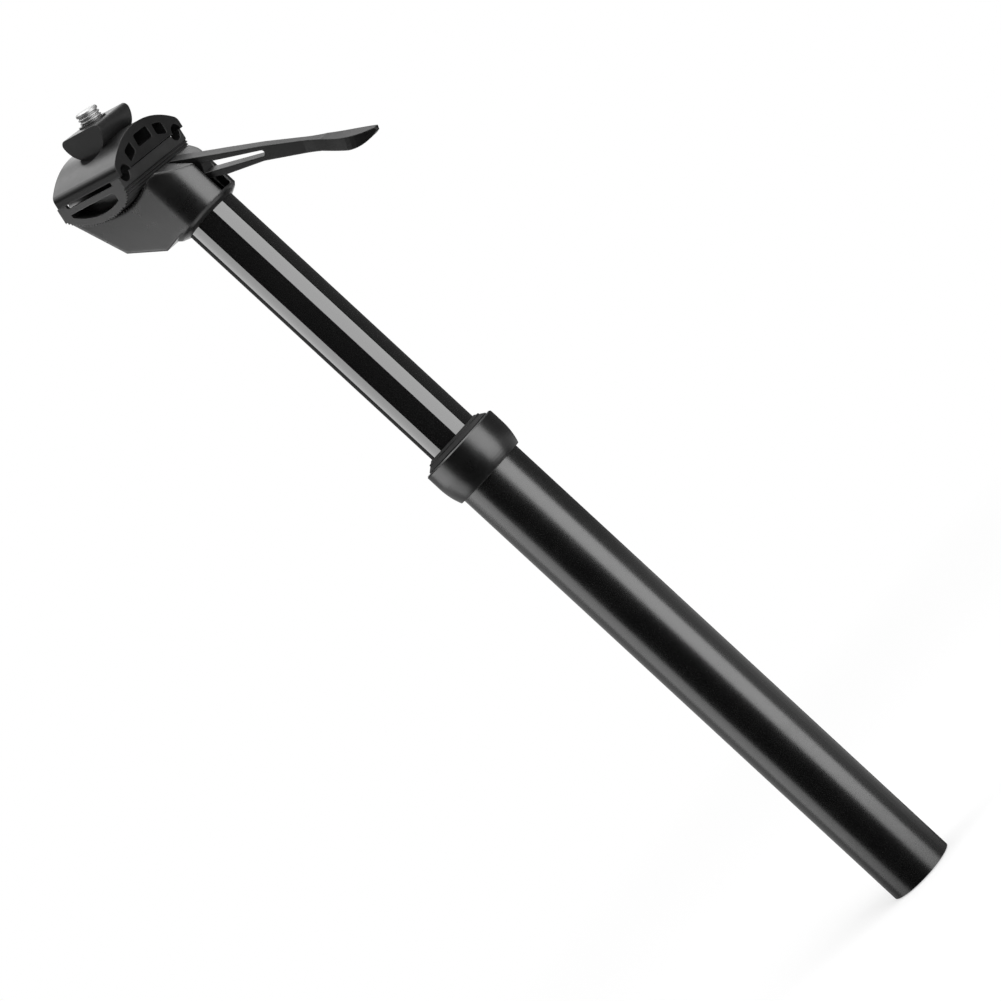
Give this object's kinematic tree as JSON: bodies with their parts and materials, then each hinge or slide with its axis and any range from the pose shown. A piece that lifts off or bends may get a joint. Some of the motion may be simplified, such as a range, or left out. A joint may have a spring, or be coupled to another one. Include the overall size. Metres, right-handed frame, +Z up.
{
  "type": "dropper seatpost",
  "caption": "Bicycle seatpost that drops on a gas cartridge: outer tube, sliding stanchion, release lever on the head and a tilting saddle clamp.",
  "frame": {"origin": "centre of the outer tube's lower end", "axes": "+X forward, +Y to the rider's left, +Z up along the post"},
  "size_m": [0.1294, 0.0548, 0.4731],
  "materials": {
    "tube_black": "satin black anodised",
    "collar_black": "satin black anodised",
    "stanchion_black": "polished black anodised",
    "head_black": "blasted black anodised",
    "lever_black": "satin black anodised",
    "clamp_grey": "blasted dark grey",
    "clamp_black": "smooth satin black",
    "nut_black": "dark satin",
    "bolt_steel": "bright zinc",
    "steel": "plain",
    "rod_steel": "polished",
    "plain_aluminium": "turned",
    "bush_bronze": "plain",
    "seal_rubber": "matte",
    "foam": "matte",
    "ring_plastic": "matte"
  },
  "bodies": {
    "lower": {"outer_tube": "tube_black", "seal_collar": "collar_black", "wiper_seal": "seal_rubber", "foam_ring": "foam", "collar_o_ring": "seal_rubber", "upper_bushing": "bush_bronze", "bottom_plug": "plain_aluminium", "plug_o_ring": "seal_rubber", "rod_washer": "steel", "rod_nut": "steel", "bottom_bumper": "seal_rubber", "cartridge_rod": "rod_steel", "piston": "plain_aluminium", "piston_ring": "ring_plastic", "piston_nut": "steel"},
    "upper": {"stanchion": "stanchion_black", "head": "head_black", "lower_bushing": "bush_bronze", "anti_rotation_keys": "bush_bronze", "top_out_ring": "seal_rubber", "cartridge_body": "plain_aluminium", "cartridge_gland": "plain_aluminium", "rod_seal": "seal_rubber", "cartridge_nut": "plain_aluminium", "cartridge_clip": "steel", "valve_head": "plain_aluminium", "valve_spring": "steel", "lever_pin": "steel", "pivot_washers": "steel"},
    "lever": {"release_lever": "lever_black", "lever_bush": "bush_bronze"},
    "valve": {"valve_pin": "rod_steel"},
    "clamp_lower": {"lower_clamp": "clamp_grey", "clamp_bolt": "bolt_steel", "bolt_washer": "steel"},
    "clamp_upper": {"upper_clamp": "clamp_black", "barrel_nut": "nut_black"}
  },
  "joints": [
    {"name": "post_slide", "type": "slide", "parent": "lower", "child": "upper", "axis": [0, 0, 1], "range_m": [-0.125, 0], "stiffness_N_per_m": 200, "springref_m": 0.15},
    {"name": "lever_pivot", "type": "hinge", "parent": "upper", "child": "lever", "pos_m": [0.008, 0, 0.419], "axis": [0, -1, 0], "range_deg": [0, 12], "stiffness_Nm_per_rad": 0.5, "springref_deg": -5.73},
    {"name": "valve_slide", "type": "slide", "parent": "upper", "child": "valve", "axis": [0, 0, -1], "range_m": [0, 0.0018], "deforming": ["valve_spring"]},
    {"name": "saddle_tilt", "type": "hinge", "parent": "upper", "child": "clamp_lower", "pos_m": [-0.0078, 0, 0.46126], "axis": [0, 1, 0], "range_deg": [-3, 10]},
    {"name": "clamp_open", "type": "slide", "parent": "clamp_lower", "child": "clamp_upper", "axis": [0.3256, 0, 0.9455], "range_m": [0, 0.005]}
  ],
  "couplings": [
    {"joint": "valve_slide", "follows": "lever_pivot", "m_per_rad": 0.008}
  ]
}
